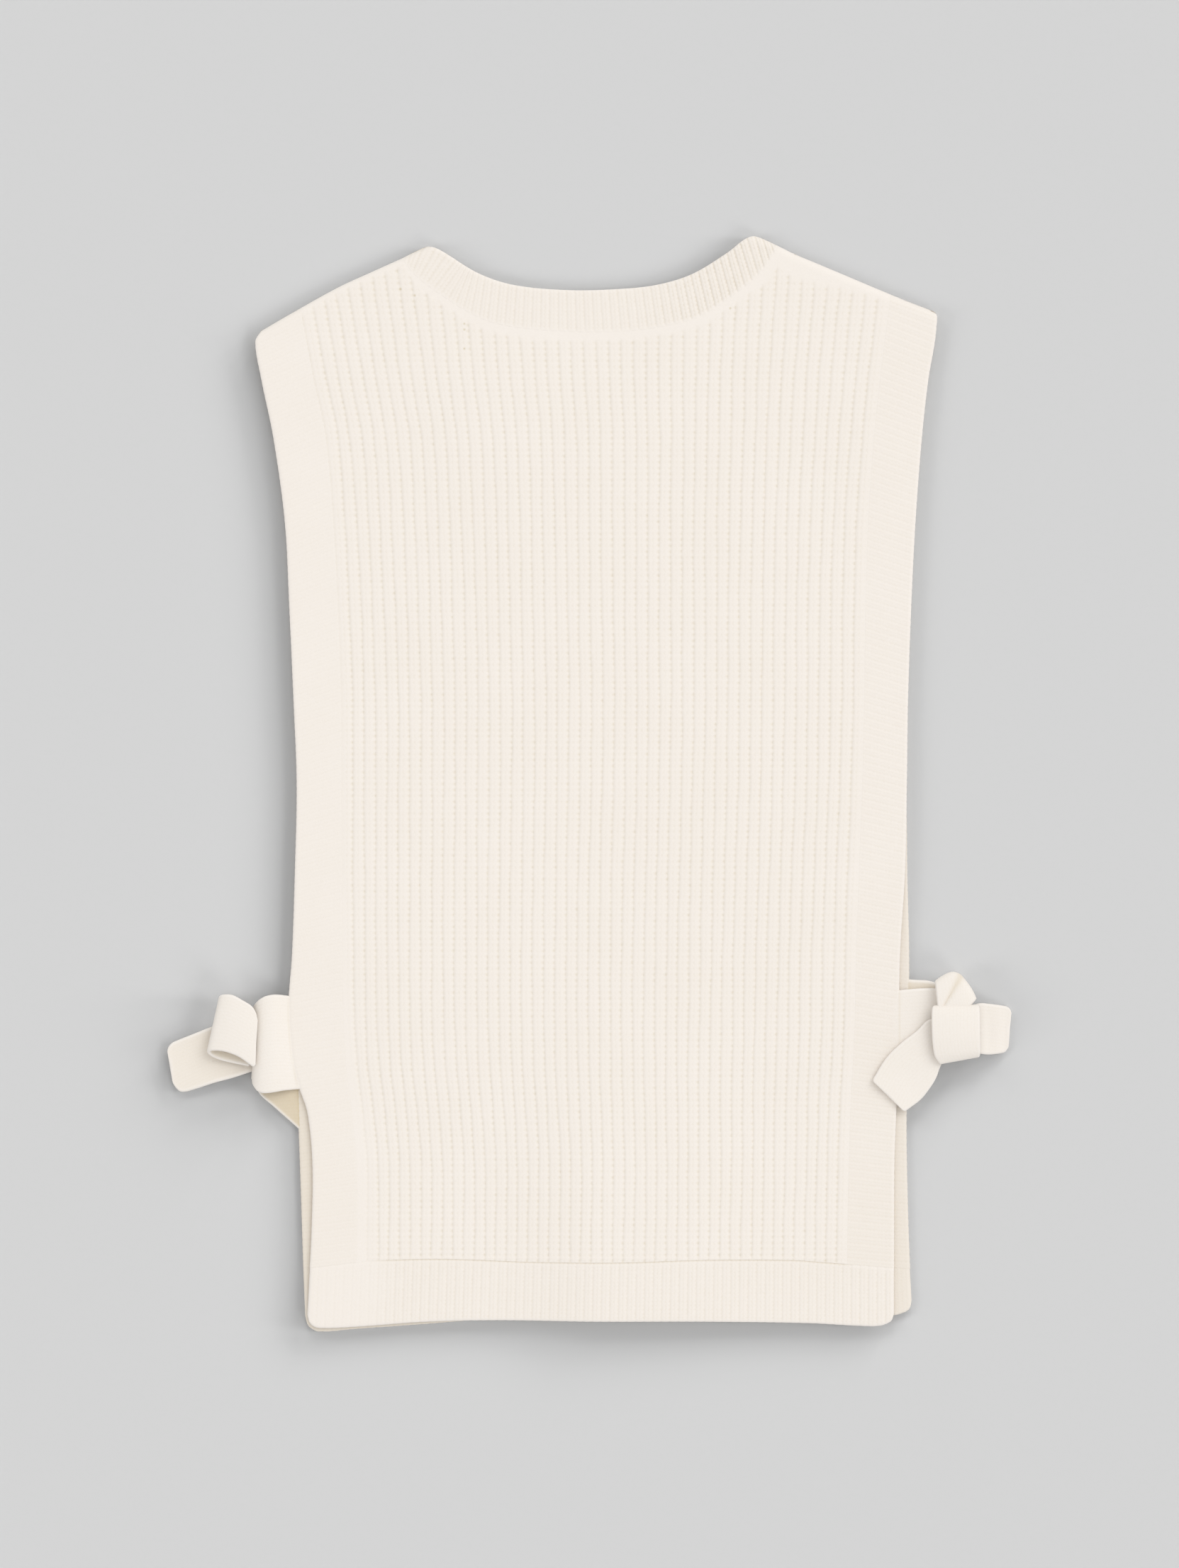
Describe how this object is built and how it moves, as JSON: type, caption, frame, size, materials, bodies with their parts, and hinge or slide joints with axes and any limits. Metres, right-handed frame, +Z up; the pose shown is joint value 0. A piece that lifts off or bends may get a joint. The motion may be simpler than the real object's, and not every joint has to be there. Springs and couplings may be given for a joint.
{
  "type": "knitted sweater vest",
  "caption": "Sleeveless rib-knit tabard vest laid flat, back side up, with open sides, ribbed bands and a knotted tie at each side.",
  "frame": {"origin": "centre of the bounding box in plan, on the surface that the vest lies on", "axes": "+Z up from the surface, +Y from the hem to the neck, +X to the viewer's right when looking down with the neck at the top"},
  "size_m": [0.4988, 0.6489, 0.0166],
  "materials": {
    "body_knit": "broad rib knit in cream yarn, matt and slightly fuzzy",
    "band_knit": "fine rib knit in cream yarn, matt and slightly fuzzy",
    "tie_knit": "close plain knit in cream yarn, matt and soft"
  },
  "bodies": {
    "root": {"back_body": "body_knit", "back_trim_left": "band_knit", "back_trim_right": "band_knit", "back_hem_band": "band_knit", "back_neckband": "band_knit", "front_body": "body_knit", "front_trim_left": "band_knit", "front_trim_right": "band_knit", "front_hem_band": "band_knit", "front_neckband": "band_knit", "tie_left_back_strap": "tie_knit", "tie_left_front_strap": "tie_knit", "tie_left_loop": "tie_knit", "tie_left_tail": "tie_knit", "tie_right_back_strap": "tie_knit", "tie_right_front_strap": "tie_knit", "tie_right_knot": "tie_knit", "tie_right_fold": "tie_knit", "tie_right_out_tail": "tie_knit", "tie_right_down_tail": "tie_knit"}
  },
  "joints": []
}
